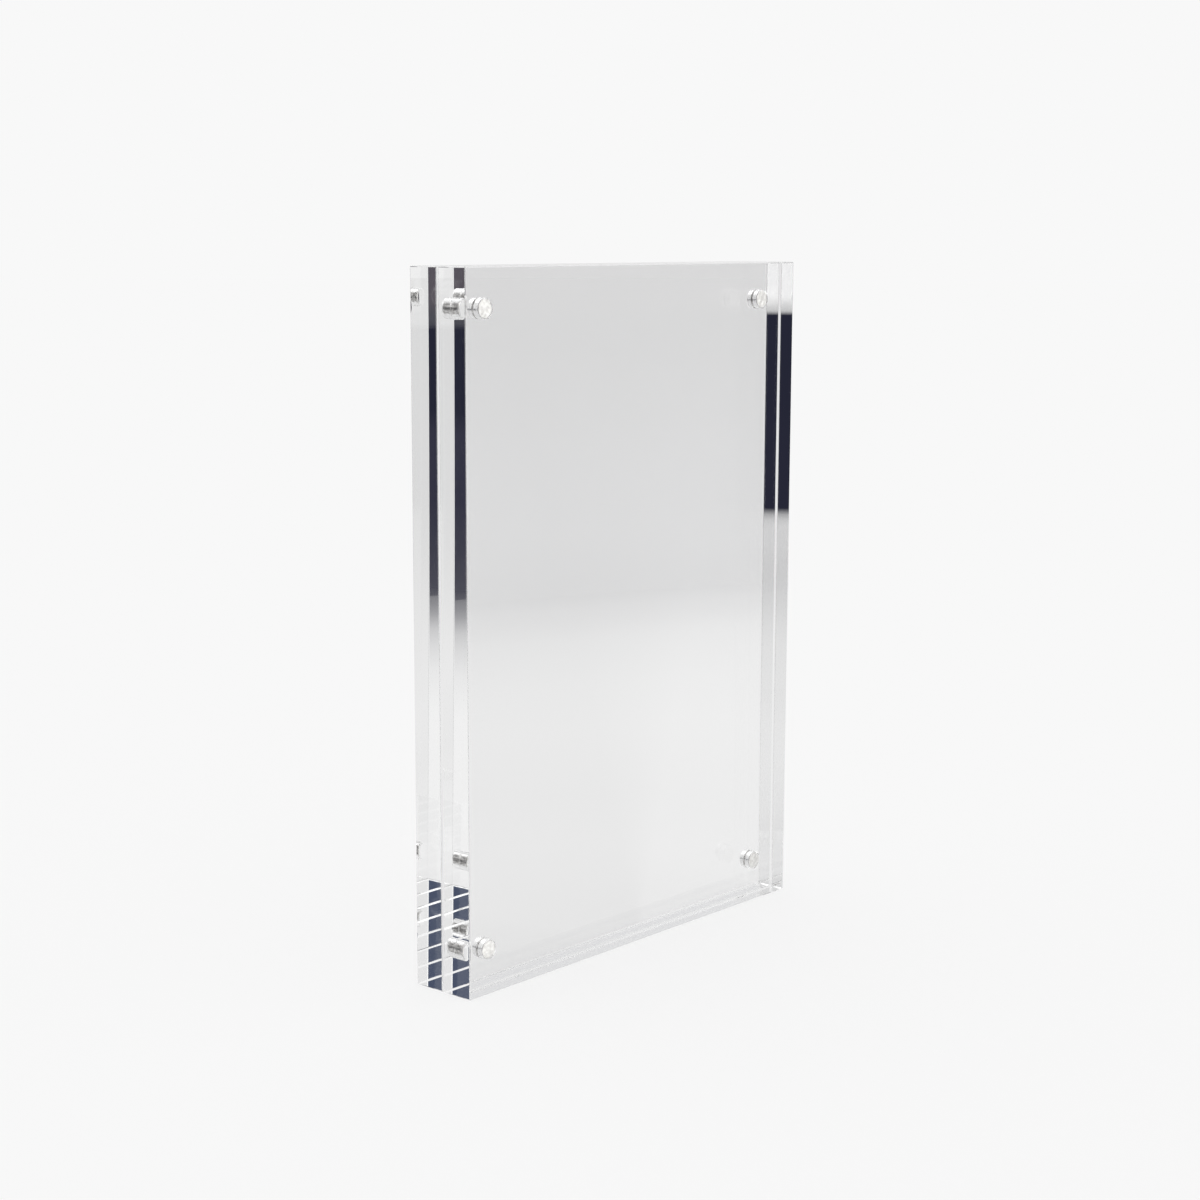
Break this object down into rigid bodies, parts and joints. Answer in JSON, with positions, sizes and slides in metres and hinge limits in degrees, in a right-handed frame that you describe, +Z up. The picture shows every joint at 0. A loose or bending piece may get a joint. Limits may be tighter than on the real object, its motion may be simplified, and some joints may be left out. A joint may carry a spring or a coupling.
{
  "type": "acrylic block frame",
  "caption": "Free-standing magnetic block frame: a pair of thick clear acrylic blocks that clasp a print between them, held by disc magnets set into the corners.",
  "frame": {"origin": "middle of the print slot between the blocks, on the surface that they stand on", "axes": "+X across the width to the viewer's right, -Y out of the front face towards the viewer, +Z up"},
  "size_m": [0.127, 0.0186, 0.1778],
  "materials": {
    "clear_acrylic": "polished",
    "nickel_plate": "polished",
    "clear_adhesive": "gloss"
  },
  "bodies": {
    "rear_half": {"rear_block": "clear_acrylic", "rear_magnet_bottom_left": "nickel_plate", "rear_magnet_bottom_right": "nickel_plate", "rear_magnet_top_left": "nickel_plate", "rear_magnet_top_right": "nickel_plate", "rear_adhesive_bottom_left": "clear_adhesive", "rear_adhesive_bottom_right": "clear_adhesive", "rear_adhesive_top_left": "clear_adhesive", "rear_adhesive_top_right": "clear_adhesive"},
    "front_half": {"front_block": "clear_acrylic", "front_magnet_bottom_left": "nickel_plate", "front_magnet_bottom_right": "nickel_plate", "front_magnet_top_left": "nickel_plate", "front_magnet_top_right": "nickel_plate", "front_adhesive_bottom_left": "clear_adhesive", "front_adhesive_bottom_right": "clear_adhesive", "front_adhesive_top_left": "clear_adhesive", "front_adhesive_top_right": "clear_adhesive"}
  },
  "joints": [
    {"name": "front_pull_off", "type": "slide", "parent": "rear_half", "child": "front_half", "axis": [0, -1, 0], "range_m": [0, 0.06]}
  ]
}
